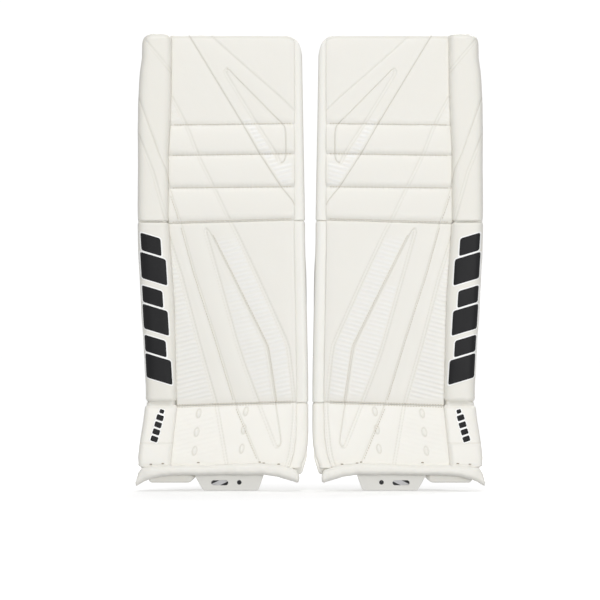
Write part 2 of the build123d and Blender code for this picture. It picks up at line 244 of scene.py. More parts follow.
def bolster(low, high, centre, half, power, ends, around, step=1.6, dome=1.0, along_s=False, bump=None, mark=None):
    """A stuffed roll along z, or across if along_s, whose section is a round-cornered oval.
    centre(t) and half(t) give the section's centre and half sizes: (across, depth), or (depth, z) if along_s.
    ends are the roundings of its two ends, which bulge by dome."""
    t = low + dome + spread(high - low - 2 * dome, step, *ends)
    inset = np.zeros(len(t))
    for r, d in ((ends[0], t - low - dome), (ends[1], high - dome - t)):
        inset = np.maximum(inset, r - np.sqrt(np.maximum(r * r - np.maximum(r - d, 0) ** 2, 0)))
    caps = np.array([0.12, 0.4, 0.68, 0.88])
    t = np.concatenate([np.full(4, t[0]), t, np.full(4, t[-1])])
    scale = np.concatenate([caps, np.ones(len(inset)), caps[::-1]])
    shift = np.concatenate([-dome * (1 - caps**2), np.zeros(len(inset)), dome * (1 - caps[::-1] ** 2)])
    inset = np.concatenate([np.full(4, inset[0]), inset, np.full(4, inset[-1])])
    c1, c2 = (np.broadcast_to(x, t.shape) for x in centre(t))
    h1, h2 = (np.broadcast_to(x, t.shape) for x in half(t))
    x, y = oval(power, float(np.mean(h1) / np.mean(h2)), around)
    p1 = c1[:, None] + ((h1 - inset) * scale)[:, None] * x[None]
    p2 = c2[:, None] + ((h2 - inset) * scale)[:, None] * y[None]
    p0 = np.broadcast_to((t + shift)[:, None], p1.shape)
    grid = np.stack([p0, p1, p2] if along_s else [p1, p2, p0], -1)
    if bump:
        turn = np.roll(grid, -1, 1) - np.roll(grid, 1, 1)
        normal = np.cross(turn, np.gradient(grid, axis=0))
        normal /= np.maximum(np.linalg.norm(normal, axis=-1, keepdims=True), 1e-9)
        grid = grid + normal * (bump(grid, normal) * (scale == 1)[:, None])[..., None]
    seam = mark(grid) if mark else np.zeros(grid.shape[:2])
    rows, columns = grid.shape[:2]
    poles = grid[[0, -1]].mean(1)
    verts = np.concatenate([grid.reshape(-1, 3), poles])
    faces = grid_faces(rows, columns, wrap=True)
    a, b = rows * columns, rows * columns + 1
    faces += [(a, (i + 1) % columns, i) for i in range(columns)]
    top = (rows - 1) * columns
    faces += [(b, top + i, top + (i + 1) % columns) for i in range(columns)]
    return {"v": verts, "f": faces, "seam": np.concatenate([seam.reshape(-1), [0, 0]])}


def join(*shapes):
    verts, faces, seams, first = [], [], [], 0
    for shape in shapes:
        verts.append(shape["v"])
        seams.append(shape["seam"])
        faces += [tuple(i + first for i in f) for f in shape["f"]]
        first += len(shape["v"])
    return {"v": np.concatenate(verts), "f": faces, "seam": np.concatenate(seams)}


def turned(shape, degrees, z):
    """The shape tipped about a level axis in the face at that height."""
    c, s = math.cos(math.radians(degrees)), math.sin(math.radians(degrees))
    v = shape["v"].copy()
    y, h = shape["v"][:, 1], shape["v"][:, 2] - z
    v[:, 1] = y * c + h * s
    v[:, 2] = z - y * s + h * c
    return {**shape, "v": v}


def on_thigh(shape):
    return turned(shape, THIGH_LEAN, KNEE_BREAK)


def on_boot(shape):
    return turned(shape, BOOT_KICK, ANKLE_BREAK)


def curve_through(points, radii):
    """A path seen from above, its corners rounded to those radii, as points about 1.5 mm apart, and its length."""
    points = [np.array(p, float) for p in points]
    out = [points[0]]
    for a, b, c, r in zip(points, points[1:], points[2:], radii):
        u, w = (a - b) / np.linalg.norm(a - b), (c - b) / np.linalg.norm(c - b)
        angle = math.acos(float(np.clip(u @ w, -1, 1)))
        reach = r / math.tan(angle / 2)
        middle = b + (u + w) / np.linalg.norm(u + w) * (r / math.sin(angle / 2))
        p, q = b + u * reach - middle, b + w * reach - middle
        sweep = math.pi - angle
        sign = np.sign(p[0] * q[1] - p[1] * q[0])
        for k in np.linspace(0, 1, 17):
            c1, s1 = math.cos(sign * sweep * k), math.sin(sign * sweep * k)
            out.append(middle + np.array([c1 * p[0] - s1 * p[1], s1 * p[0] + c1 * p[1]]))
    out = np.array(out + [points[-1]])
    run = np.concatenate([[0], np.cumsum(np.linalg.norm(np.diff(out, axis=0), axis=1))])
    at = np.linspace(0, run[-1], int(run[-1] / 1.5) + 1)
    return np.stack([np.interp(at, run, out[:, 0]), np.interp(at, run, out[:, 1])], -1), run[-1]


def wrap(shape, path, length):
    """Bends a flat shape round a path: across becomes the way along it, and depth the way to its left."""
    count = len(path)
    way = np.gradient(path, axis=0)
    way /= np.linalg.norm(way, axis=1, keepdims=True)
    at = shape["v"][:, 0] / length * (count - 1)
    steps = np.arange(count)
    p = np.stack([np.interp(at, steps, path[:, k]) for k in (0, 1)], -1)
    w = np.stack([np.interp(at, steps, way[:, k]) for k in (0, 1)], -1)
    w /= np.linalg.norm(w, axis=1, keepdims=True)
    beyond = np.where(at < 0, at, np.where(at > count - 1, at - count + 1, 0)) * length / (count - 1)
    v = shape["v"].copy()
    v[:, 0] = p[:, 0] - w[:, 1] * shape["v"][:, 1] + w[:, 0] * beyond
    v[:, 1] = p[:, 1] + w[:, 0] * shape["v"][:, 1] + w[:, 1] * beyond
    return {**shape, "v": v}


def stitches(paths, pitch=4.6, length=3.1, radius=0.55):
    """A row of stitches along each path of (across, depth, z) points."""
    lift = 0.2
    rings = ((0.0, 0.25), (0.16, 0.85), (0.5, 1.0), (0.84, 0.85), (1.0, 0.25))
    around = np.linspace(0, 2 * math.pi, 6, endpoint=False)
    verts, faces = [], []
    for path in paths:
        p = np.array(path, float)
        run = np.concatenate([[0], np.cumsum(np.linalg.norm(np.diff(p, axis=0), axis=1))])
        for start in np.arange(pitch / 2, run[-1] - length, pitch):
            ends = [np.array([np.interp(start + k * length, run, p[:, c]) for c in range(3)]) for k in (0, 1)]
            way = (ends[1] - ends[0]) / max(np.linalg.norm(ends[1] - ends[0]), 1e-9)
            side = np.cross(way, (0, -1, 0))
            side /= max(np.linalg.norm(side), 1e-9)
            up = np.cross(side, way)
            first = len(verts)
            for k, size in rings:
                middle = ends[0] + way * length * k + up * (lift - 0.35 * radius * (2 * k - 1) ** 2)
                verts += [middle + radius * size * (side * math.cos(t) + up * math.sin(t)) for t in around]
            faces += grid_faces(len(rings), 6, first, wrap=True)
            faces += [tuple(first + i for i in range(6)), tuple(first + 29 - i for i in range(6))]
    faces = [tuple(reversed(f)) for f in faces]
    return {"v": np.array(verts), "f": faces, "seam": np.zeros(len(verts))}


# ---------------------------------------------------------------- materials

class Shader:
    """A material, with short ways to add nodes. A value may be a number, a colour or a node's output."""

    def __init__(self, name):
        self.material = bpy.data.materials.new(name)
        self.material.use_nodes = True
        self.nodes, self.links = self.material.node_tree.nodes, self.material.node_tree.links
        self.place = self.nodes.new("ShaderNodeTexCoord").outputs["Object"]

    def node(self, kind, output, inputs, **settings):
        """A new node's output, with its settings made and its inputs set or joined."""
        node = self.nodes.new(f"ShaderNode{kind}")
        for key, value in settings.items():
            setattr(node, key, value)
        return self.fill(node, inputs).outputs[output]

    def fill(self, node, inputs):
        for key, value in inputs.items():
            socket = node.inputs[key]
            if isinstance(value, bpy.types.NodeSocket):
                self.links.new(value, socket)
            else:
                socket.default_value = (*value, 1) if socket.type == "RGBA" else value
        return node

    def noise(self, scale, detail, roughness=0.5):
        return self.node("TexNoise", "Fac", {"Vector": self.place, "Scale": scale, "Detail": detail,
                                             "Roughness": roughness})

    def math(self, operation, *values):
        return self.node("Math", 0, dict(enumerate(values)), operation=operation)

    def scaled(self, value, factor, plus):
        return self.math("MULTIPLY_ADD", value, factor, plus)

    def mix(self, factor, low, high):
        node = self.nodes.new("ShaderNodeMix")
        node.data_type = "RGBA"
        return self.fill(node, {"Factor": factor, "A": low, "B": high}).outputs["Result"]

    def bump(self, height, strength, distance):
        return self.node("Bump", "Normal", {"Height": height, "Strength": strength, "Distance": distance})

    def done(self, inputs):
        self.fill(self.nodes["Principled BSDF"], inputs)
        return self.material


COOL = (0.81, 0.807, 0.79)  # the ribbed strips' colour


def leather(name, colour, crease_shade_colour, grain=1.0, roughness=0.42):
    """Coated synthetic leather: a fine pebble, slight patches of tone, seams darkened with painted shade, and cooler
    ribbed strips. The seam attribute, which carries the painted shade, is above 0 in a seam and below 0 on a strip."""
    m = Shader(name)
    seam = m.node("Attribute", "Fac", {}, attribute_name="seam")
    blotch = m.noise(60.0, 4.0, 0.6)
    tone = m.scaled(blotch, 0.12, m.scaled(m.noise(9.0, 3.0), 0.35, -0.1))
    base = m.mix(tone, colour, [c * k for c, k in zip(colour, (0.965, 0.962, 0.945))])
    # Painted shade: the seam attribute darkens the colour towards the shade colour in seams and pressed lines; below
    # 0 it gives the ribbed strips their cool tint
    base = m.mix(seam, m.mix(m.math("MULTIPLY", seam, -1.0), base, COOL), crease_shade_colour)
    pebble = m.node("TexVoronoi", "Distance", {"Vector": m.place, "Scale": 760.0}, feature="SMOOTH_F1")
    pores = m.math("MULTIPLY", m.noise(1400.0, 2.0), 0.3 * grain)
    height = m.scaled(m.noise(45.0, 2.0), 2.2, m.scaled(pebble, 0.7 * grain, pores))
    return m.done({"Base Color": base, "Normal": m.bump(height, 0.45, 0.0004),
                   "Roughness": m.scaled(seam, 0.2, m.scaled(blotch, 0.14, roughness - 0.07)),
                   "Specular IOR Level": 0.42, "Subsurface Weight": 0.04,
                   "Subsurface Radius": (0.002, 0.0015, 0.001)})


WAVE_SCALE = 0.314  # a Wave texture's scale for one band to the metre


def woven(name, colour, dark, pitch, strength=0.6, sheen=0.25, twill=False):
    """Woven or knit cloth: two crossed sets of threads of that pitch, in metres, with a soft sheen."""
    m = Shader(name)
    waves = []
    for turn in ((0, 45, 0), (0, -45, 0)) if twill else ((0, 0, 0), (90, -45, 0)):
        spin = m.node("Mapping", "Vector", {"Vector": m.place, "Rotation": [math.radians(a) for a in turn]})
        waves.append(m.node("TexWave", "Fac", {"Vector": spin, "Scale": WAVE_SCALE / pitch, "Distortion": 0.6,
                                               "Detail": 1.0}, bands_direction="Z"))
    weave = m.math("MULTIPLY", *waves)
    tone = m.scaled(weave, 0.6, m.math("MULTIPLY", m.noise(14.0, 3.0), 0.4))
    height = m.scaled(m.noise(2500.0, 2.0), 0.35, weave)
    return m.done({"Base Color": m.mix(tone, dark, colour), "Normal": m.bump(height, strength, pitch * 0.35),
                   "Roughness": 0.85, "Sheen Weight": sheen, "Sheen Roughness": 0.5})


def moulded(name, colour, dark, roughness, metallic=0.0, speck=900.0, strength=0.12, shine=0.4):
    """Moulded plastic, rubber, film, thread or metal: a fine texture, soft tone changes and uneven gloss."""
    m = Shader(name)
    patches = m.noise(22.0, 4.0)
    return m.done({"Base Color": m.mix(patches, dark, colour),
                   "Normal": m.bump(m.noise(speck, 3.0), strength, 0.0003),
                   "Roughness": m.scaled(patches, 0.16, roughness - 0.08), "Metallic": metallic,
                   "Specular IOR Level": shine})


# Each leather's second colour is the painted shade that its seams and pressed lines are darkened to
FACE = leather("face_leather", (0.80, 0.785, 0.735), (0.50, 0.475, 0.40))
ROLL = leather("roll_leather", (0.79, 0.775, 0.72), (0.50, 0.475, 0.40), grain=1.15)
EDGE = leather("edge_leather", (0.83, 0.82, 0.775), (0.52, 0.50, 0.43), grain=0.9, roughness=0.38)
BOOT = leather("boot_leather", (0.825, 0.81, 0.76), (0.52, 0.49, 0.41), grain=0.9)
LINER = woven("liner_knit", (0.74, 0.73, 0.69), (0.50, 0.495, 0.465), 0.0016, strength=0.7)
NYLON = woven("nylon_cover", (0.77, 0.76, 0.715), (0.60, 0.59, 0.55), 0.0008, strength=0.45, sheen=0.12)
WEBBING = woven("webbing", (0.66, 0.66, 0.645), (0.34, 0.34, 0.335), 0.0021, strength=0.8, twill=True)
THREAD = moulded("thread", (0.60, 0.555, 0.46), (0.50, 0.46, 0.37), 0.6, speck=3000.0, strength=0.3)
KNOT = moulded("knot_thread", (0.36, 0.31, 0.23), (0.24, 0.20, 0.15), 0.7)
DECAL = moulded("black_film", (0.010, 0.010, 0.011), (0.006, 0.006, 0.007), 0.5, speck=1500.0, strength=0.1,
                shine=0.2)
OUTLINE = moulded("white_film", (0.93, 0.93, 0.92), (0.88, 0.88, 0.87), 0.34, speck=1500.0, strength=0.06)
BRIDGE = moulded("bridge_plastic", (0.86, 0.85, 0.81), (0.80, 0.79, 0.75), 0.42)
RUBBER = moulded("grip_rubber", (0.17, 0.175, 0.18), (0.11, 0.115, 0.12), 0.6, speck=700.0, strength=0.3)
STEEL = moulded("rivet_steel", (0.62, 0.62, 0.61), (0.46, 0.46, 0.45), 0.32, metallic=1.0)
BAND = woven("silver_band", (0.92, 0.92, 0.94), (0.66, 0.66, 0.68), 0.0011, strength=0.7, twill=True)
# The dark sheet behind the toe bridge, as painted shade
SHADE_SHEET = moulded("painted_shade_sheet", (0.12, 0.12, 0.125), (0.06, 0.06, 0.065), 0.9, speck=1100.0, strength=1.0)


# ---------------------------------------------------------------- placing pieces

def linked(name, data):
    item = bpy.data.objects.new(name, data)
    bpy.context.scene.collection.objects.link(item)
    return item


def placed(name, shape, side, sign, material):
    """The shape as an object of one pad. The right pad's is a mirror image, so its faces are turned round."""
    v = shape["v"]
    points = np.stack([sign * v[:, 0], v[:, 1] + FACE_Y, v[:, 2]], -1) * MM
    faces = shape["f"] if sign > 0 else [tuple(reversed(f)) for f in shape["f"]]
    mesh = bpy.data.meshes.new(f"{side}_{name}")
    mesh.from_pydata(points.tolist(), [], faces)
    # The seam attribute carries each place's painted shade to the material
    mesh.attributes.new("seam", "FLOAT", "POINT").data.foreach_set("value", shape["seam"].astype(np.float32))
    mesh.shade_smooth()
    mesh.materials.append(material)
    return linked(f"{side}_{name}", mesh)


def add(name, shape, body, material, replaces=(), across=None):
    """Places a piece on both pads. across is (other body, start, end) for fabric that crosses a joint: such a piece
    is fixed where it is made instead of going with body, and its other body, start and end are not used.
    """
    for side, sign in SIDES:
        item = placed(name, shape, side, sign, material)
        if replaces:
            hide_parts(*(f"{side}_{node}" for node in replaces))
        if across:
            other, start, end = across
            start, end = (Vector((sign * p[0], p[1] + FACE_Y, p[2])) * MM for p in (start, end))
            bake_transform(item)
        else:
            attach(item, f"{side}_{body}")


# ---------------------------------------------------------------- the lines sewn and pressed into the front

LINE_A = [(205.3, 760), (112.5, 606.7), (83.5, 555.8), (49.0, 502.5), (29.9, 479.6), (23.0, 466)]
LINE_B = soften([(172.0, 760), (134.1, 724.8), (45.3, 647.3), (36.0, 638), (22.0, 625)], 2)
LOOP_C_INNER = soften([(138.6, 697.5), (134.5, 696.5), (129.0, 690.0), (49.0, 609.1), (42.7, 603.0),
                       (40.6, 590.0), (40.4, 562.0), (41.2, 549.5), (44.5, 543.0), (48.5, 542.0)], 3)
LOOP_C_OUTER = soften([(138.6, 697.5), (141.5, 694.0), (139.5, 688.0), (91.0, 609.1), (57.0, 556.8),
                       (52.8, 546.5), (50.8, 542.6), (48.5, 542.0)], 3)
LINE_D = soften([(229.6, 650), (205.3, 604.1), (186.4, 554.4), (159.5, 499.8), (132.8, 444.1), (125.0, 430.8),
                 (93.5, 365.0), (40.7, 248.2), (36.4, 236.6), (29.2, 173.5), (26.2, 145.3), (27.0, 120),
                 (29.7, 90.0), (33.0, 60.0), (40.4, 38.0)], 1)
LINE_E = [(279.0, 751.0), (231.0, 694.0)]
LINE_F = [(284.5, 650.0), (251.2, 558.6), (238.4, 530.4), (231.9, 497.2), (213.0, 440.7), (190.7, 359.4),
          (156.5, 253.2), (122.0, 139.1), (82.0, 43.0)]
LINE_G = [(285.5, 588.0), (261.1, 527.9), (237.5, 445.0)]
LOOP_H_INNER = soften([(172.3, 431.8), (168.5, 430.8), (162.0, 419.2), (127.8, 351.1), (73.5, 242.0),
                       (70.6, 233.6), (57.8, 145.3), (49.6, 92.0), (48.2, 80.0), (50.2, 73.5), (54.2, 72.0)], 2)
LOOP_H_OUTER = soften([(172.3, 431.8), (173.8, 427.0), (169.2, 412.0), (142.1, 316.2), (116.4, 224.9),
                       (86.3, 145.3), (62.0, 84.0), (58.6, 75.6), (57.0, 72.8), (54.2, 72.0)], 2)
LINE_I = [(234.0, 418.0), (213.5, 353.6), (184.9, 244.9), (154.9, 139.1), (137.8, 42.0)]
# Each crisp line's points, the side its lip is on, its depth, and how dark its painted shade is
CRISP = [(LINE_A, -1, 1.1, 0.78), (LOOP_C_INNER, 1, 1.1, 0.78), (LOOP_H_INNER, 1, 0.8, 0.55),
         (LINE_F, 1, 0.7, 0.38)]
BROAD = [LOOP_C_OUTER, LINE_D, LOOP_H_OUTER, LINE_I]
ROLL_LINES = [LINE_E, LINE_F, LINE_G]
RIB_PITCH, RIB_SLANT = 7.7, 0.25


def dip(d, width):
    """1 on a line and falling smoothly to 0 beside it."""
    return np.exp(-((d / width) ** 2))


def pressed(s, z):
    """How far the front stands proud of, or below, its plain shape because of the lines and ribs."""
    height = np.zeros(s.shape)
    nearest = np.full(s.shape, 1e9)
    for points, lip, deep, _ in CRISP:
        d, side, _ = to_line(s, z, points)
        nearest = np.minimum(nearest, d)
        height -= deep * dip(d, 0.75)
        height += np.where(side == lip, 0.55 * dip(d - 2.6, 1.5), 0)
    for points in BROAD:
        d, side, _ = to_line(s, z, points)
        nearest = np.minimum(nearest, d)
        height -= 0.62 * (1 - step_up(d, 1.5, 3.1))
    d, side, _ = to_line(s, z, LINE_B)
    height += -0.75 * dip(d, 1.5) + np.where(side < 0, 0.4 * dip(d - 3.0, 1.6), 0)
    height += 0.9 * (1 - np.exp(-np.minimum(nearest, d) / 9.0))
    return height + ribs(s, z)


def rib_strips(s, z):
    """How much of a ribbed strip each place is in: (beside the roll, inside the lower loop and beside it,
    between the upper lines, on the boot)."""
    def clear(points, side):
        d, which, _ = to_line(s, z, points)
        return step_up(d * which * side, 3.0, 6.5)
    outer = clear(LINE_I, 1) * step_up(z, 146, 156) * (1 - step_up(z, 396, 420))
    outer = np.maximum(outer, 0.5 * clear(LINE_D, 1) * step_up(z, 606, 612) * (1 - step_up(z, 630, 642)))
    lower = clear(LOOP_H_INNER, -1) * clear(LINE_D, 1) * step_up(z, 150, 160) * (1 - step_up(z, 405, 425))
    inside = clear(LOOP_H_INNER, 1) * clear(LOOP_H_OUTER, -1) * step_up(z, 150, 160) * (1 - step_up(z, 330, 350))
    below_loop = np.where(z > 546, clear(LOOP_C_OUTER, 1), step_up(546 - z, 0, 4))
    upper = clear(LINE_A, -1) * below_loop * step_up(z, 503, 508) * (1 - step_up(z, 610, 622)) * step_up(s, 28, 33)
    boot = clear(LINE_I, 1) * (1 - step_up(z, 130, 138)) * step_up(z, 48, 62)
    return outer, np.maximum(lower, 0.85 * inside), upper, boot


def rib_wave(s, z):
    return np.cos(2 * math.pi * (z + RIB_SLANT * s) / RIB_PITCH)


def ribs(s, z):
    """Fine slanted ribs pressed into the strips between the lines."""
    outer, lower, upper, boot = rib_strips(s, z)
    wave = rib_wave(s, z)
    flat_wave = np.sign(wave) * np.abs(wave) ** 0.6
    return wave * (0.36 * outer + 0.24 * lower + 0.1 * boot) + 0.24 * flat_wave * upper


def seam_shade_and_strip_tint(s, z):
    """How deep in a seam a place on the front is, for its colour: painted shade in the pressed lines and along the
    channels' walls, with stitch dots on the lower channels. It is below 0 on a ribbed strip, for the strip's tint.
    """
    mark = np.zeros(s.shape)
    for points, _, _, dark in CRISP:
        # Painted shade in the crisp pressed lines
        mark = np.maximum(mark, dark * dip(to_line(s, z, points)[0], 0.75))
    for points in BROAD:
        d, _, along = to_line(s, z, points)
        # Painted shade along each channel's wall; below z 432 it carries stitch dots, which are the thread's own
        # colour
        wall_shade_and_dots = 0.22 + 0.14 * np.cos(2 * math.pi * along / 5.2) * (z < 432) * (points is not LOOP_C_OUTER)
        mark = np.maximum(mark, wall_shade_and_dots * dip(d - 2.3, 0.8))
    # Painted shade in the fold of line B
    mark = np.maximum(mark, 0.32 * dip(to_line(s, z, LINE_B)[0], 1.0))
    outer, lower, upper, _ = rib_strips(s, z)
    # The strips' cool tint is striped with painted light and shade along the ribs
    rib_painted_light = 0.6 + 0.4 * rib_wave(s, z)
    return np.where(mark > 0.02, mark, -np.clip((0.6 * outer + 0.75 * lower + 0.8 * upper) * rib_painted_light, 0, 1))


def darker(mark, more):
    """The painted shade with a darker one over it, which leaves the strips as they are elsewhere."""
    return np.where(more > 0.02, np.maximum(mark, more), mark)


SEAM_TILT = {605.0: 2.6, 554.5: 3.0, 500.0: 2.2, 444.0: 6.0, 142.0: 7.0}


def seam_height(s, z):
    """Seams run a little lower at the outer side."""
    return z - SEAM_TILT[z] * (s - 130.0) / 210.0


# ---------------------------------------------------------------- fronts

def top_line(s):
    """The thigh rise's top edge, with its round corner at the inner side."""
    inset = np.clip(14.4 + TOP_CORNER - s, 0, TOP_CORNER)
    return FACE_TOP - (TOP_CORNER - np.sqrt(TOP_CORNER**2 - inset**2))


def panel_edges(z):
    """The long sides of a face panel, which laps a little over the roll."""
    return STRIP_EDGE(z), ROLL_EDGE(z) + 1.2


def pucker(s, z, seam):
    """Leather drawn into little folds beside a sewn seam."""
    d = np.abs(z - seam)
    return 0.22 * np.exp(-d / 4.5) * np.sin(s * 2 * math.pi / 8.3 + 2.2 * ripple(s, z * 0, 40.0, 5))


def side_fall(s, z):
    """How far a face panel falls towards its two long seams."""
    left, right = panel_edges(z)
    return 1.6 * (np.exp(-np.maximum(s - left, 0) / 7.0) + np.exp(-np.maximum(right - s, 0) / 7.0))


BINDING = 4.2  # how far below the top edge its binding is sewn


def thigh_front(s, z):
    low = seam_height(s, ROLL_SEAMS[0])
    v = (z - low) / (top_line(s) - low)
    curl = 1 - (1 - np.clip((z - low) / 14.0, 0, 1)) ** 2
    body = 3.6 * curl * crown(0.5 + v / 2, 6) ** 0.6
    binding = -0.8 * dip(top_line(s) - z - BINDING, 0.9)
    return (lean(z) + 2.2 + side_fall(s, z) - body - pressed(s, z) - binding - pucker(s, z, low)
            - 0.25 * ripple(s, z, 60.0, 3))


def thigh_shade_and_strip_tint(s, z):
    # Painted shade in the binding's groove along the top edge, over the seams' painted shade
    return darker(seam_shade_and_strip_tint(s, z), 0.4 * dip(top_line(s) - z - BINDING, 0.8))


def knee_roll_front(low_seam, high_seam):
    def front(s, z):
        low, high = seam_height(s, low_seam), seam_height(s, high_seam)
        v = np.clip((z - low) / (high - low), 0, 1)
        foot = 1 - (1 - np.minimum(v / 0.26, 1)) ** 2
        rest = (1 - np.clip((v - 0.26) / 0.74, 0, 1) ** 1.7) ** 0.8
        folds = pucker(s, z, low) + pucker(s, z, high)
        shut = step_up(np.minimum(v, 1 - v), 0, 0.12)
        return lean(z) + 2.2 + side_fall(s, z) - 5.0 * foot * rest - pressed(s, z) * (0.3 + 0.7 * shut) - folds
    return front


def shin_front(s, z):
    low, high = seam_height(s, ANKLE_BREAK), seam_height(s, KNEE_BREAK)
    body = 2.8 * crown((z - low) / (high - low), 12) ** 0.6
    return (lean(np.maximum(z, ANKLE_BREAK)) + 1.6 + side_fall(s, z) - body - pressed(s, z) - pucker(s, z, high)
            - 0.3 * ripple(s, z, 80.0, 4))


BUMPS = [(184.758, 126.99), (188.078, 96.28), (191.398, 65.57),
         (106.738, 130.31), (110.058, 100.43), (113.378, 68.89)]


def bump_radius(s, z, place):
    """1 on the outline of a raised lace bump."""
    x, y = (s - place[0]) + 0.16 * (z - place[1]), z - place[1]
    return np.sqrt((x / 3.3) ** 2 + (y / 6.0) ** 2)


def boot_front(s, z):
    high = seam_height(s, ANKLE_BREAK)
    body = 3.0 * crown((z - BOOT_SEAM) / (high - BOOT_SEAM), 6) ** 0.6
    knobs = 0
    for place in BUMPS:
        r = bump_radius(s, z, place)
        knobs = knobs + 1.5 * (1 - step_up(r, 0.5, 1.15)) - 0.45 * dip(r - 1.25, 0.2)
    return lean(z) + 1.2 + side_fall(s, z) - body - pressed(s, z) - knobs - 0.3 * ripple(s, z, 60.0, 6)


def boot_shade_and_strip_tint(s, z):
    mark = seam_shade_and_strip_tint(s, z)
    for place in BUMPS:
        # Painted shade in the groove round each lace bump
        mark = darker(mark, 0.45 * dip(bump_radius(s, z, place) - 1.2, 0.2))
    return mark


FINE = 1.25  # the grid of the fronts, where the lines are pressed in
PANEL_BACK = 8.5


def between(low, high, gap):
    return lambda s: (seam_height(s, low) + gap, seam_height(s, high) - gap)


def panel(name, z_of, front, edge, body, fill, back=behind(PANEL_BACK), mark=seam_shade_and_strip_tint, material=FACE, across=None,
          **more):
    add(f"{name}_leather", slab(panel_edges, z_of, front, back, step=FINE, mark=mark, edge=edge, **more), body,
        material, [name], across)


panel("thigh_panel", lambda s: (seam_height(s, ROLL_SEAMS[0]), top_line(s)), thigh_front, (0.4, 2.5, 0.3, 5.0),
      "thigh", 0.7, mark=thigh_shade_and_strip_tint, back_drop=0.0)
KNEE_ROLLS = [(name, knee_roll_front(low, high), low, high) for name, low, high in
              zip(("upper", "middle", "lower"), ROLL_SEAMS[1:], ROLL_SEAMS)]
for name, front, low, high in KNEE_ROLLS:
    panel(f"{name}_knee_roll", between(low, high, -0.3), front, (0.4, 2.5, 1.6 if name == "lower" else 0.3, 0.3),
          "thigh", 0.9)
panel("shin_panel", between(ANKLE_BREAK, KNEE_BREAK, 0.1), shin_front, (0.4, 2.5, 1.4, 3.2), "shin", 0.6,
      level(PANEL_BACK))
ANKLE_BEND = ("shin", (0, 0, 121.0), (0, 0, 137.0))
panel("boot_panel", lambda s: (BOOT_SEAM - 4 + 0 * s, seam_height(s, ANKLE_BREAK) - 0.1), boot_front,
      (0.4, 2.5, 2.0, 2.2), "boot", 0.6, mark=boot_shade_and_strip_tint, material=BOOT, across=ANKLE_BEND)


# ---------------------------------------------------------------- outer rolls

SLACK = 0.35  # how uneven a stuffed roll's surface is


def roll_bump(grid, normal):
    """Lines pressed into a roll's front, and slight slackness."""
    s, z = grid[..., 0], grid[..., 2]
    facing = np.clip(-normal[..., 1] * 1.6, 0, 1)
    height = SLACK * ripple(s, z, 70.0, 11)
    for points in ROLL_LINES:
        d = to_line(s, z, points)[0]
        if points is LINE_F:
            height = height - facing * (0.9 * dip(d, 1.0) + 0.3 * (1 - step_up(d, 1.0, 4.0)))
        else:
            height = height - facing * 0.75 * (1 - step_up(d, 1.2, 3.4))
    return height


def roll_painted_shade(grid):
    """How deep in a line a place on the roll's front is, as painted shade in the line."""
    s, z = grid[..., 0], grid[..., 2]
    mark = np.zeros(s.shape)
    for points in ROLL_LINES:
        d = to_line(s, z, points)[0] - (0.0 if points is LINE_F else 2.3)
        mark = np.maximum(mark, (0.5 if points is LINE_F else 0.26) * dip(d, 0.85))
    return mark * (grid[..., 1] - lean(z) < 10)


ROLL_POWER = 4.0
ROLL_FRONT, ROLL_BACK = -15.0, 50.0


def roll_centre(z):
    return (ROLL_EDGE(z) + OUTER(z)) / 2, lean(z) + (ROLL_FRONT + ROLL_BACK) / 2


def roll_half(z):
    return (OUTER(z) - ROLL_EDGE(z)) / 2, (ROLL_BACK - ROLL_FRONT) / 2 + 0 * z


def roll_surface(s, z):
    """Depth of an outer roll's front."""
    (middle, depth), (wide, deep) = roll_centre(z), roll_half(z)
    x = np.clip(np.abs(s - middle) / wide, 0, 0.97)
    level = (1 - x**ROLL_POWER) ** (1 / ROLL_POWER)
    slope = deep / wide * (x / level) ** (ROLL_POWER - 1)
    return depth - deep * level - SLACK * ripple(s, z, 70.0, 12) * np.sqrt(1 + slope**2)


def roll_limit(z):
    """How far out film reaches on an outer roll."""
    return roll_centre(z)[0] + 0.9 * roll_half(z)[0]


def round_top(z):
    """How far the upper roll's outer side comes in at its top corner."""
    return 13.0 * (1 - np.sqrt(1 - np.clip((z - ROLL_TOP + 20.0) / 20.0, 0, 0.98) ** 2))


def outer_roll(name, low, high, ends, body, bump, mark=None, top=lambda z: 0 * z):
    """top says how far the outer side comes in at each height."""
    def centre(z):
        return roll_centre(z)[0] - top(z) / 2, roll_centre(z)[1]

    def half(z):
        return roll_half(z)[0] - top(z) / 2, roll_half(z)[1]

    add(f"{name}_leather", bolster(low, high, centre, half, ROLL_POWER, ends, 150, bump=bump, mark=mark), body, ROLL,
        [name])


outer_roll("upper_outer_roll", KNEE_BREAK + 0.3, ROLL_TOP, (3.0, 9.0), "thigh", roll_bump, roll_painted_shade, round_top)
outer_roll("lower_outer_roll", ANKLE_BREAK + 2.0, KNEE_BREAK - 0.3, (8.0, 3.0), "shin",
           lambda grid, _: SLACK * ripple(grid[..., 0], grid[..., 2], 70.0, 12))


def block_front(s, z):
    left, right = ROLL_EDGE(z), OUTER(z)
    body = 3.6 * crown((s - left) / (right - left), 3.5) ** 0.7 * crown((z - 42) / 97, 8) ** 0.6
    pad = 2.0 * step_up(78.0 - z, 0, 3.0) * step_up(s, left + 2, left + 7)
    return lean(z) - 7.0 - body - pad


def block_painted_shade(s, z):
    # Painted shade in a line along the step in the block's front
    return 0.3 * dip(z - 78.8, 1.0)


add("boot_block_leather",
    slab(lambda z: (ROLL_EDGE(z) - 0.3, OUTER(z)), span(BOOT_SEAM - 4, 141.5), block_front, behind(14),
         edge=(5.0, 8.0, 3.0, 6.0), back_drop=1.0, mark=block_painted_shade, step=1.4),
    "boot", BOOT, ["boot_outer_block"])


# ---------------------------------------------------------------- inner edges

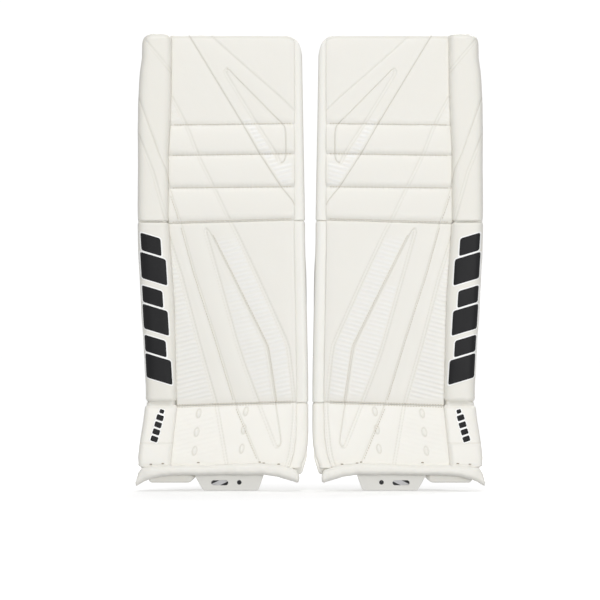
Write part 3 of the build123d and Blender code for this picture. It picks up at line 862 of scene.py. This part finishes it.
def edge_strip(name, z_of, body, nodes, material=EDGE):
    """The narrow gusset along a length's inner side, rolled over from the front to the liner."""
    add(name,
        slab(lambda z: (INNER(z), STRIP_EDGE(z) + 0.8), z_of,
             lambda s, z: (lean(z) + 2.4 + 1.3 * np.exp(-np.maximum(STRIP_EDGE(z) - s, 0) / 4)
                           - 0.25 * ripple(s, z, 50.0, 21)),
             behind(58), edge=(8.5, 0.4, 1.5, 4.0), back_drop=4.0, step=1.3, full_back=True),
        body, material, nodes)


edge_strip("upper_inner_edge_leather", lambda s: (KNEE_BREAK + 2.5 + 0 * s, top_line(s) - 0.2), "thigh",
           ["upper_inner_edge"])
edge_strip("lower_inner_edge_leather", span(ANKLE_BREAK + 3.0, KNEE_BREAK + 1.9), "shin", ["lower_inner_edge"])
edge_strip("boot_inner_edge_leather", span(BOOT_SEAM - 6, ANKLE_BREAK + 2.4), "boot", [], BOOT)


# ---------------------------------------------------------------- casings, between the fronts and the liners

def casing(name, s_of, z_of, front, back, body, nodes, material=EDGE, edge=3.0):
    add(name, slab(s_of, z_of, front, back, step=3.0, edge=edge, full_back=True), body, material,
        nodes)


def cover_back(depth, seed):
    return lambda s, z: lean(z) + depth + 0.5 * ripple(s, z, 60, seed)


casing("thigh_casing", span(26.0, 233.0), lambda s: (KNEE_BREAK + 1.6 + 0 * s, top_line(s) - 0.6),
       behind(5.5), cover_back(55, 41), "thigh", ["thigh_core"], edge=(3.0, 3.0, 3.0, 1.2))
casing("shin_casing", lambda z: (STRIP_EDGE(z), ROLL_EDGE(z) + 2), span(ANKLE_BREAK + 2.0, KNEE_BREAK - 1.6),
       level(7.0), cover_back(54, 42), "shin", ["shin_core", "shin_board"])


def sole_line(s):
    """The boot's lower edge: it reaches lowest behind the outer half of the toe roll."""
    lip = step_up(s, 180, 202) * (1 - step_up(s, 262, 276))
    return 28.0 - 15.0 * lip - 3.0 * (1 - step_up(s, 30, 60)) * step_up(s, 10, 30)


def boot_core_front(s, z):
    pocket = step_up(s, 70, 76) * (1 - step_up(s, 192, 198)) * (1 - step_up(z, 60, 66))
    return np.maximum(lean(z) + 7.5 + 16.0 * pocket, -32.0)


def boot_core_sides(z):
    return 5.5 + 9 * (1 - step_up(z, 20, 60)), OUTER(np.maximum(z, 42.0)) - 3.0 - 10 * (1 - step_up(z, 14, 44))


casing("boot_casing", boot_core_sides, lambda s: (sole_line(s), 140.0 + 0 * s), boot_core_front,
       cover_back(59.0, 43), "boot", ["boot_core"], BOOT)


# ---------------------------------------------------------------- toe

TOE_TOP = table([(18, 30), (23, 34), (31.5, 37.5), (52, 43.0), (83.5, 45.6), (124, 44.8), (168, 41.5),
                 (200, 42.0), (232, 42.0), (264.6, 40.5), (278, 38.3), (284, 30), (288, 17), (289, 12)])
TOE_BOTTOM = table([(18, 12.5), (22.4, 13.3), (31.5, 16.1), (53.8, 22.9), (80, 26.6), (215, 26.2), (244, 24.4),
                    (267, 18.5), (280, 11.5), (285.5, 8.5), (289, 6.5)])


def toe_centre(s):
    return -47.0 + 4.0 * step_up(s, 250, 290), (TOE_TOP(s) + TOE_BOTTOM(s)) / 2


def toe_half(s):
    return 13.5 - 4.0 * step_up(s, 262, 290), (TOE_TOP(s) - TOE_BOTTOM(s)) / 2


def toe_bump(grid, normal):
    s, z = grid[..., 0], grid[..., 2]
    crease = 0.7 * dip(z - TOE_TOP(s) + 2.6, 1.4) * np.clip(-normal[..., 1] + 0.3, 0, 1)
    return 0.5 * ripple(s, z, 45.0, 31) + 0.3 * ripple(s, z, 16.0, 32) - crease


add("toe_roll_leather",
    bolster(18.0, 288.4, toe_centre, toe_half, 2.7, (5.0, 2.5), 80, step=1.8, dome=0.8, along_s=True, bump=toe_bump),
    "boot", BOOT, ["toe_roll"])


# ---------------------------------------------------------------- hinge leather across the flex breaks

def hinge_leather(name, z0, inset, back, body, across):
    """The leather behind a break, pressed in at its middle."""
    def front(s, z):
        roll = step_up(s, ROLL_EDGE(z) + 2, ROLL_EDGE(z) + 6)
        return 6.0 - 14.0 * roll + 1.5 * dip(z - z0, 2.0)
    add(name,
        slab(lambda z: (INNER(z) + 1.5, OUTER(z) - inset), between(z0, z0, -9), front, back, step=1.5,
             edge=(6.0, 9.0, 1.5, 1.5), back_drop=4.0, full_back=True),
        body, ROLL, across=across)


def ankle_hinge_back(s, z):
    inside_roll = step_up(s, ROLL_EDGE(z) - 4, ROLL_EDGE(z) + 8) * step_up(z, 136.0, 145.0)
    return lean(z) + 58.5 - 12.0 * inside_roll


hinge_leather("knee_hinge_leather", KNEE_BREAK, 1.2, level(49.0), "shin", ("thigh", (0, 0, 439.0), (0, 0, 449.0)))
hinge_leather("ankle_hinge_leather", ANKLE_BREAK, 2.6, ankle_hinge_back, "boot",
              ("shin", (0, 0, 137.0), (0, 0, 147.0)))


# ---------------------------------------------------------------- film blocks on the roll and the boot

def film_block(low, high, left, right, slant, rise, surface, lift, corner, limit):
    """A thin slanted block of film fitted to the surface under it."""
    middle_z, middle_s = (low + high) / 2, (left + right) / 2

    def sides(z):
        lean_out = slant * (z - middle_z)
        return left + lean_out, np.minimum(right + lean_out, limit(z))

    def front(s, z):
        slope = (surface(s + 0.05, z) - surface(s - 0.05, z)) / 0.1
        return surface(s, z) - lift * np.sqrt(1 + slope**2)

    return slab(sides, lambda s: (low + rise * (s - middle_s), high + rise * (s - middle_s)), front,
                lambda s, z: surface(s, z) + 0.6, step=1.0, edge=corner, drop=0.3, back_drop=0.0, full_back=True)


def film(name, blocks, body, surface, slant, rise, reach, corners, limit=OUTER):
    """Blocks of black film, each (low, high, left, right), over a white edge that shows by reach round them."""
    for part, out, corner, lift, material in (("outline", reach, corners[1], 0.36, OUTLINE),
                                              ("blocks", 0, corners[0], 0.62, DECAL)):
        made = [film_block(low - out, high + out, left - out, right + out, slant, rise, surface, lift, corner,
                           lambda z: limit(z) + 0.7 * out) for low, high, left, right in blocks]
        add(f"{name}_film_{part}", join(*made), body, material)


roll_blocks = []
for low, high, left, right in ((345, 421, 238, 280), (262, 334, 235, 277.5), (181, 252, 229.5, 273.5)):
    cut = low + 0.62 * (high - low)
    roll_blocks += [(low, cut - 4.4, left, right), (cut, high, left + 9, right)]
film("roll", roll_blocks, "shin", roll_surface, 0.06, 0.3, 2, (3.6, 4.6), roll_limit)
boot_blocks = []
for k in range(5):
    foot = 80.5 + 11.6 * k
    size, wide = (9.6, 12.5) if k < 4 else (7.0, 8.0)
    inner = 257.5 - 3.0 * k - wide / 2
    boot_blocks.append((foot, foot + size, inner, inner + wide))
film("boot", boot_blocks, "boot", block_front, -0.3, 0.35, 1.5, (1.8, 2.4))


# ---------------------------------------------------------------- stitching on the front

def on_surface(surface, points):
    """The points just in front of the surface."""
    s, z = (np.array(x, float) for x in zip(*points))
    return np.stack([s, surface(s, z) - 0.15, z], -1)


def dense(points):
    """The line with a point about every 2 mm."""
    out = []
    for (s0, z0), (s1, z1) in zip(points, points[1:]):
        count = max(1, int(math.hypot(s1 - s0, z1 - z0) / 2.0))
        out += [(s0 + (s1 - s0) * k / count, z0 + (z1 - z0) * k / count) for k in range(count)]
    return out + [points[-1]]


def level_row(surface, seam, offset):
    """The line of a row of stitches beside a seam."""
    return on_surface(surface, [(s, seam_height(s, seam) + offset) for s in np.linspace(30.0, 228.0, 90)])


def shifted(points, offset):
    """A line beside another, that far to its outer side."""
    p = np.array(points)
    way = np.gradient(p, axis=0)
    way /= np.linalg.norm(way, axis=1, keepdims=True)
    return [tuple(q) for q in p + offset * np.stack([-way[:, 1], way[:, 0]], -1)]


def within(points, low, high, outer=None):
    """The part of a line between two heights, and no further out than outer."""
    return [p for p in points if low <= p[1] <= high and (outer is None or p[0] < outer(p[1]))]


upper_front, middle_front, lower_front = (front for _, front, _, _ in KNEE_ROLLS)
beside_f = shifted(dense(LINE_F), 2.6)
add("thigh_stitching",
    stitches([level_row(front, seam, up) for front, seam, up in
              zip((thigh_front, upper_front, middle_front, lower_front), ROLL_SEAMS, (1.3, 1.3, 1.3, 2.4))] + [
              on_surface(lower_front, within(beside_f, 447, 497, lambda z: ROLL_EDGE(z) - 2))]),
    "thigh", THREAD)
add("shin_stitching",
    stitches([level_row(shin_front, ANKLE_BREAK, 2.2),
              on_surface(shin_front, within(beside_f, 146, 437)),
              on_surface(shin_front, within(shifted(dense(LOOP_H_INNER), -2.4), 146, 425))]),
    "shin", THREAD)
add("boot_stitching",
    stitches([level_row(boot_front, ANKLE_BREAK, -1.9), on_surface(boot_front, within(beside_f, 48, 137))]),
    "boot", THREAD, across=ANKLE_BEND)


# Short thick stitches tack the toe roll down
KNOTS = [(262.778, 43.99), (242.858, 45.152), (184.758, 46.48), (83.498, 47.31), (76.858, 45.65), (51.958, 43.99)]
tacks = []
for s, z in KNOTS:
    front = boot_front if s < ROLL_EDGE(z) else block_front
    depth = float(front(np.array(s), np.array(z))) - 0.6
    tacks.append([(s - 2.6, depth, z), (s + 2.6, depth, z)])
add("toe_tacks", stitches(tacks, pitch=1.0, length=3.6, radius=0.75), "boot", KNOT)


# ---------------------------------------------------------------- liners

QUILT_PITCH = 34.0


def quilt(s, z, foot):
    """Puffed channels across a liner, with two lengthwise seams."""
    across_seams = np.abs(np.sin(math.pi * (z - foot) / QUILT_PITCH)) ** 0.45
    length_seams = np.minimum(np.abs(s - 96) / 10, np.minimum(np.abs(s - 168) / 10, 1)) ** 0.5
    return 2.6 * across_seams * (0.55 + 0.45 * length_seams) + 0.25 * ripple(s, z, 30.0, 51)


def liner(name, s_of, z_of, foot, back, body, node):
    add(name,
        slab(s_of, z_of, lambda s, z: back(s, z) - 9.0, lambda s, z: back(s, z) - 2.8 + quilt(s, z, foot), step=1.7,
             edge=4.0, drop=0.5, full_back=True),
        body, LINER, [node])


liner("thigh_liner_quilt", span(29.0, 250.0),
      lambda s: (KNEE_BREAK + 1.8 + 0 * s, np.minimum(top_line(s) - 4, 749.0)), 446.0, behind(60.5), "thigh",
      "thigh_liner")
liner("shin_liner_quilt", lambda z: (25.0 + 0 * z, ROLL_EDGE(z) + 16.0), span(ANKLE_BREAK + 2.5, KNEE_BREAK - 1.5),
      144.0, level(60.5), "shin", "shin_liner")


# ---------------------------------------------------------------- landing blocks, blown up as cloth round foam

VOXEL, PRESSURE, FRAMES = 5.0, 4.0, 20
SWELL = 4.0  # the most that a point of a block moves, in mm


def inflated(shape, pin):
    """The shape as fabric pulled round foam: swollen by a cloth simulation, and held where pin is true."""
    mesh = bpy.data.meshes.new("soft")
    mesh.from_pydata((shape["v"] * MM).tolist(), [], shape["f"])
    item = linked("soft", mesh)
    remesh = item.modifiers.new("remesh", "REMESH")
    remesh.mode, remesh.voxel_size = "VOXEL", VOXEL * MM

    def settled():
        graph = bpy.context.evaluated_depsgraph_get()
        return bpy.data.meshes.new_from_object(item.evaluated_get(graph), depsgraph=graph)

    def read(mesh, key="co"):
        values = np.zeros(len(mesh.vertices) * 3)
        mesh.vertices.foreach_get(key, values)
        return values.reshape(-1, 3)

    item.data = settled()
    item.modifiers.clear()
    rest = read(item.data)
    cloth = item.modifiers.new("cloth", "CLOTH")
    cloth.settings.use_pressure = True
    cloth.settings.uniform_pressure_force = PRESSURE
    cloth.settings.effector_weights.gravity = 0
    cloth.settings.quality = 6
    cloth.point_cache.frame_start, cloth.point_cache.frame_end = 1, FRAMES
    held = item.vertex_groups.new(name="held")
    held.add([int(i) for i in np.nonzero(pin(rest / MM))[0]], 1.0, "REPLACE")
    cloth.settings.vertex_group_mass = "held"
    for number in range(1, FRAMES + 1):
        bpy.context.scene.frame_set(number)
    way = read(settled()) - rest
    item.modifiers.clear()
    size = np.linalg.norm(way, axis=1, keepdims=True)
    way *= np.minimum(1, SWELL * MM / np.maximum(size, 1e-9))
    item.data.vertices.foreach_set("co", (rest + way).reshape(-1))
    bpy.context.scene.frame_set(1)
    item.modifiers.new("smooth", "SMOOTH").iterations = 3
    item.modifiers.new("fine", "SUBSURF").levels = 2
    mesh = settled()
    bpy.data.objects.remove(item)
    return {"v": read(mesh) / MM, "f": [tuple(p.vertices) for p in mesh.polygons],
            "seam": np.zeros(len(mesh.vertices)), "n": read(mesh, "normal")}


def grooved(shape, distances, depth=1.3, wide=1.6):
    """The shape with seams pressed into it, where any of the distances is near 0."""
    dent = np.zeros(len(shape["v"]))
    for distance in distances:
        dent = np.maximum(dent, dip(distance(shape["v"]), wide))
    return {**shape, "v": shape["v"] - depth * dent[:, None] * shape["n"], "seam": 0.6 * dent**2}


def landing_block(s_mid, half_s, low, high, taper=0.0):
    """A calf or knee block, which gets thinner by taper towards its lower end."""
    def thin(z):
        return taper * (1 - step_up(z, low, low + 45))

    shape = bolster(low + 2, high - 2, lambda z: (s_mid, 88.0 - thin(z) / 2),
                    lambda z: (half_s - 2.5, 26.0 - thin(z) / 2), 4.5, (9.0, 9.0), 60, step=5.0)
    shape = inflated(shape, lambda p: p[:, 1] < 64)
    seams = [lambda v: v[:, 1] - 70.0, lambda v: np.where(v[:, 1] > 80, np.abs(v[:, 2] - (low + high) / 2), 50.0),
             lambda v: np.where(v[:, 1] > 84, np.abs(np.abs(v[:, 0] - s_mid) - half_s + 9.0), 50.0)]
    return grooved(shape, seams)


add("calf_block_cover", landing_block(42.0, 36.0, 152.0, 405.0, taper=14.0), "shin", NYLON,
    ["calf_block"])
add("knee_block_cover", on_thigh(landing_block(46.0, 34.0, 462.0, 598.0)), "thigh", NYLON,
    ["knee_block"])


# ---------------------------------------------------------------- wings

WING_PATH, WING_RADII = [(243, 67), (252, 105), (240, 148)], [50]
STRAP_PATH = [(255.5, 122.2), (241.5, 172.3), (205, 188), (130, 186), (88, 122), (20, 122)]
STRAP_RADII = [25, 55, 42, 28]
BOOT_STRAP_PATH = [(238, 62.3), (228, 128), (195, 150), (98, 150), (62, 59.6), (22, 59.6)]
BOOT_STRAP_RADII = [28, 36, 30, 16]


def wing(low, high):
    """A padded wing of two sewn sheets, with pressed channels and a bound edge, bent along its path."""
    path, length = curve_through(WING_PATH, WING_RADII)

    def puff(s, z):
        channels = [np.abs(z - low - (high - low) * k / 4) for k in (1, 2, 3)] + [np.abs(s - length * 0.45) + 3]
        d = np.minimum.reduce(channels + [np.minimum(s, length - s) - 5.5, np.minimum(z - low, high - z) - 5.5])
        return 1.7 * (1 - np.exp(-np.abs(d) / 5.0)) + 0.2 * ripple(s, z, 35.0, 61)

    def corner(s):
        return 14.0 - np.sqrt(np.maximum(14.0**2 - np.clip(s - length + 14.0, 0, 14) ** 2, 0))

    shape = slab(span(0, length), lambda s: (low + corner(s), high - corner(s)),
                 lambda s, z: -4.4 - puff(s, z), lambda s, z: 4.4 + puff(s, z), step=1.6, edge=4.0, full_back=True)
    return wrap(shape, path, length)


def as_made(shape):
    return shape


def wing_root(name, low, high, body, onto, turn):
    """Leather that joins a wing to the back of the pad, at the wing's hinge."""
    depths = np.linspace(52.0, 79.0, 24)
    length = depths[-1] - depths[0]
    route = np.stack([243.0 + 0.237 * np.maximum(depths - 67.0, 0), depths], -1)

    def half(s, z):
        return 3.4 - 0.5 * dip(s - 13, 2.5) - 1.2 * step_up(s, 14.0, 20.0) + 0 * z

    shape = slab(span(0, length), span(low + 5, high - 5), lambda s, z: -half(s, z), half, step=1.5, edge=2.0,
                 full_back=True)
    ends = turn({"v": np.array([[243.0, depth, (low + high) / 2] for depth in (60.0, 72.0)])})["v"]
    add(name, turn(wrap(shape, route, length)), onto, EDGE, across=(body, *map(tuple, ends)))


WINGS = (("calf_wing", 165.0, 410.0, "shin", as_made), ("knee_wing", 478.0, 598.0, "thigh", on_thigh))
for name, low, high, onto, turn in WINGS:
    wing_root(f"{name}_root", low, high, name, onto, turn)
for name, low, high, _, turn in WINGS:
    add(f"{name}_cover", turn(wing(low, high)), name, NYLON, [name])


# ---------------------------------------------------------------- straps

STRAP_WIDE = 38.0


def ribbon(length, low, start=0.0, thick=3.0):
    """A flat run of webbing, a little thicker along its two woven edges."""
    def half(s, z):
        edge = np.minimum(z - low, low + STRAP_WIDE - z)
        return thick / 2 - 0.25 + 0.25 * dip(edge - 1.6, 1.2)

    return slab(span(start, length), span(low, low + STRAP_WIDE), lambda s, z: -half(s, z), half, step=2.0,
                edge=0.9, full_back=True)


def box_stitch(left, right, low, high, depth):
    """A sewn box with a cross in it."""
    loop = [(left, low), (right, low), (right, high), (left, high), (left, low)]
    cross = [[(left, low), (right, high)], [(left, high), (right, low)]]
    return stitches([[(s, depth, z) for s, z in line] for line in [loop] + cross], pitch=3.4, length=2.4,
                    radius=0.38)


def flipped(shape):
    """Stitches or a dome for the other face of a strap."""
    v = shape["v"] * (1, -1, 1)
    return {**shape, "v": v, "f": [tuple(reversed(f)) for f in shape["f"]]}


def grip(left, right, low, high, depth):
    """A rubber pull tab with ridges to grip, sewn to the end of a strap."""
    def back(s, z):
        ridge = np.cos((s - left) * 2 * math.pi / 5.2) * step_up(np.minimum(z - low, high - z), 5, 8)
        return depth + 1.9 + 0.55 * ridge * step_up(s, left + 3, left + 5) * (1 - step_up(s, left + 26, left + 28))
    return slab(span(left, right), span(low, high), level(depth), back, step=0.9, edge=3.5, drop=0.4, back_drop=0.9,
                full_back=True)


def strap(name, path, radii, low, tab_from, tab_to, turn):
    """A strap's webbing, its grip tab and the stitches that hold the tab."""
    route, length = curve_through(path, radii)
    depth = path[-1][1]
    band = wrap(ribbon(length, low, start=-1.7), route, length)
    add(f"{name}_webbing", turn(band), name, WEBBING, [name])
    add(f"{name}_grip", turn(grip(tab_from, tab_to, low - 2, low + 40, depth + 1.35)), name, RUBBER)
    sewn = box_stitch(tab_from + 33, tab_to - 3, low + 3, low + 35, -(depth + 3.35))
    add(f"{name}_stitching", turn(flipped(sewn)), name, THREAD)


# The lower edges of the straps
UPPER_CALF, LOWER_CALF, KNEE, BOOT_STRAP = 340.0, 205.0, 520.0, 79.0
for name, low, turn in (("upper_calf_strap", UPPER_CALF, as_made), ("lower_calf_strap", LOWER_CALF, as_made),
                        ("knee_strap", KNEE, on_thigh)):
    strap(name, STRAP_PATH, STRAP_RADII, low, 14.0, 62.0, turn)
strap("boot_strap", BOOT_STRAP_PATH, BOOT_STRAP_RADII, BOOT_STRAP, 16.0, 50.0, on_boot)


def dome(s, depth, z):
    """A rivet's head that stands out towards lower depth."""
    radius, height, around = 5.0, 1.8, 28
    rings = [(radius, 0.0), (radius, 0.3 * height)] + [
        (radius * math.cos(a), height * (0.3 + 0.7 * math.sin(a))) for a in np.linspace(0.25, 1.45, 7)]
    t = np.linspace(0, 2 * math.pi, around, endpoint=False)
    verts = [(s + r * math.cos(a), depth - h, z + r * math.sin(a)) for r, h in rings for a in t]
    verts += [(s, depth - height, z), (s, depth, z)]
    top = (len(rings) - 1) * around
    faces = grid_faces(len(rings), around, wrap=True)
    faces += [(len(verts) - 2, top + i, top + (i + 1) % around) for i in range(around)]
    faces += [(len(verts) - 1, (i + 1) % around, i) for i in range(around)]
    return {"v": np.array(verts), "f": faces, "seam": np.zeros(len(verts))}


RIVETS = (10.3, 27.7)  # heights above the strap's lower edge


def anchor(name, low, body, nodes, turn):
    """The sewn root of a strap on a wing, with its two rivets."""
    length = 26.0
    a, b = np.array(STRAP_PATH[0]), np.array(STRAP_PATH[1])
    way = (b - a) / np.linalg.norm(b - a)
    start = a - way * (1.9 + length)
    route = np.stack([start + way * k for k in np.linspace(0, length, 14)])
    sewn = box_stitch(2.5, length - 2.5, low + 2.5, low + STRAP_WIDE - 2.5, -1.35)
    heads = join(*(dome(12.0, -1.1, low + up) for up in RIVETS))
    for part, shape, material, stands_for in (("tab", ribbon(length, low, thick=2.4), WEBBING, nodes),
                                              ("stitching", sewn, THREAD, ()), ("rivets", heads, STEEL, ())):
        add(f"{name}_{part}", turn(wrap(shape, route, length)), body, material, stands_for)


anchor("upper_calf_anchor", UPPER_CALF, "calf_wing", ["calf_strap_anchors"], as_made)
anchor("lower_calf_anchor", LOWER_CALF, "calf_wing", [], as_made)
anchor("knee_anchor", KNEE, "knee_wing", ["knee_strap_anchor"], on_thigh)
LEFT, RIGHT, DEPTH = 239.9, 265.9, 57.3  # the boot strap's sewn root
LOW, HIGH = BOOT_STRAP, BOOT_STRAP + STRAP_WIDE
tab = slab(span(LEFT, RIGHT), span(LOW, HIGH), level(DEPTH - 1.2), level(DEPTH + 1.2), edge=0.8, full_back=True)
heads = flipped(join(*(dome(LEFT + 14, -DEPTH - 1.1, LOW + up) for up in RIVETS)))
sewn = flipped(box_stitch(LEFT + 2.5, RIGHT - 2.5, LOW + 2.5, HIGH - 2.5, -DEPTH - 1.35))
add("boot_anchor_tab", on_boot(tab), "boot", WEBBING, ["boot_webbing"])
add("boot_anchor_rivets", on_boot(heads), "boot", STEEL)
add("boot_anchor_stitching", on_boot(sewn), "boot", THREAD)


# ---------------------------------------------------------------- what shows through the toe bridge

def slot_band():
    """The short grey band that crosses the slot on a slant."""
    shape = slab(span(-26.0, 16.0), span(-4.0, 4.0), lambda s, z: -0.1 * np.cos(s * 4), level(1.6), step=1.0,
                 edge=1.5, drop=0.4, back_drop=0.4, full_back=True)
    c, d = math.cos(math.radians(26)), math.sin(math.radians(26))
    s, y, z = shape["v"].T
    return {**shape, "v": np.stack([149.7 + s * c + z * d, y - 25.0, 12.8 - s * d + z * c], -1)}


add("slot_band", slot_band(), "boot", BAND)
# A dark sheet behind the toe bridge as painted shade: it darkens what shows through the bridge's hole and slot
add("bridge_shade_sheet", slab(span(100.0, 172.0), span(5.5, 34.0), level(-17.5), level(-14.5), step=2.0, edge=1.4,
                           full_back=True), "boot", SHADE_SHEET)

for side, _ in SIDES:
    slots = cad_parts[f"{side}_toe_bridge"].data.materials
    slots.clear()
    slots.append(BRIDGE)


# ---------------------------------------------------------------- camera, light and floor

def area_light(name, place, aim, size, power):
    lamp = bpy.data.lights.new(name, "AREA")
    lamp.shape, lamp.size, lamp.size_y, lamp.energy = "RECTANGLE", *size, power
    item = linked(name, lamp)
    item.location = place
    item.rotation_euler = (Vector(aim) - Vector(place)).to_track_quat("-Z", "Y").to_euler()


def floor(radius):
    """A round pale floor, which glows a little more further out."""
    t = np.linspace(0, 2 * math.pi, 96, endpoint=False)
    mesh = bpy.data.meshes.new("floor")
    mesh.from_pydata([(radius * math.cos(a), radius * math.sin(a), -0.0005) for a in t], [], [tuple(range(96))])
    m = Shader("floor_white")
    reach = m.node("VectorMath", "Value", {0: m.place}, operation="LENGTH")
    glow = m.node("MapRange", "Result", {"Value": reach, "From Min": 0.5, "From Max": 5.0, "To Min": 0.16,
                                         "To Max": 0.52})
    mesh.materials.append(m.done({"Base Color": (0.93, 0.93, 0.93), "Roughness": 0.9, "Emission Color": (1, 1, 1),
                                  "Emission Strength": glow}))
    item = linked("floor", mesh)
    item.visible_diffuse = False


def backdrop(radius):
    """A plain white surround on all sides, which is seen but gives no light."""
    bpy.ops.mesh.primitive_uv_sphere_add(segments=48, ring_count=24, radius=radius)
    surround = bpy.context.object
    surround.name = "backdrop"
    surround.data.materials.append(Shader("backdrop_white").done(
        {"Base Color": (0, 0, 0), "Emission Color": (1, 1, 1), "Emission Strength": 1.0}))
    surround.visible_diffuse = surround.visible_glossy = surround.visible_transmission = False
    surround.visible_shadow = False


VIEW_WIDE = 0.993  # metres across the picture at the pads' faces


def studio():
    """A pale floor in a white surround, soft lights and the photograph's view."""
    floor(30.0)
    backdrop(29.0)
    world = bpy.data.worlds.new("studio")
    world.use_nodes = True
    sky = world.node_tree.nodes["Background"].inputs
    sky["Color"].default_value, sky["Strength"].default_value = (1, 1, 1, 1), 0.55
    bpy.context.scene.world = world
    area_light("key", (-0.5, -2.6, 3.4), (0, 0, 0.35), (2.2, 1.4), 55)
    area_light("fill", (0.9, -3.2, 0.3), (0, 0, 0.1), (2.4, 0.55), 32)
    area_light("rear", (0.6, 2.9, 2.6), (0, 0, 0.4), (2.4, 1.6), 74)
    camera = bpy.data.cameras.new("camera")
    camera.sensor_width = 36.0
    distance = 12.0
    camera.lens = camera.sensor_width * distance / VIEW_WIDE
    camera.clip_end = 200.0
    item = linked("camera", camera)
    item.location = (-0.0171, FACE_Y * MM - distance, 0.3146)
    item.rotation_euler = (math.pi / 2, 0, 0)
    bpy.context.scene.camera = item
    bpy.context.scene.view_settings.view_transform = "Standard"


studio()
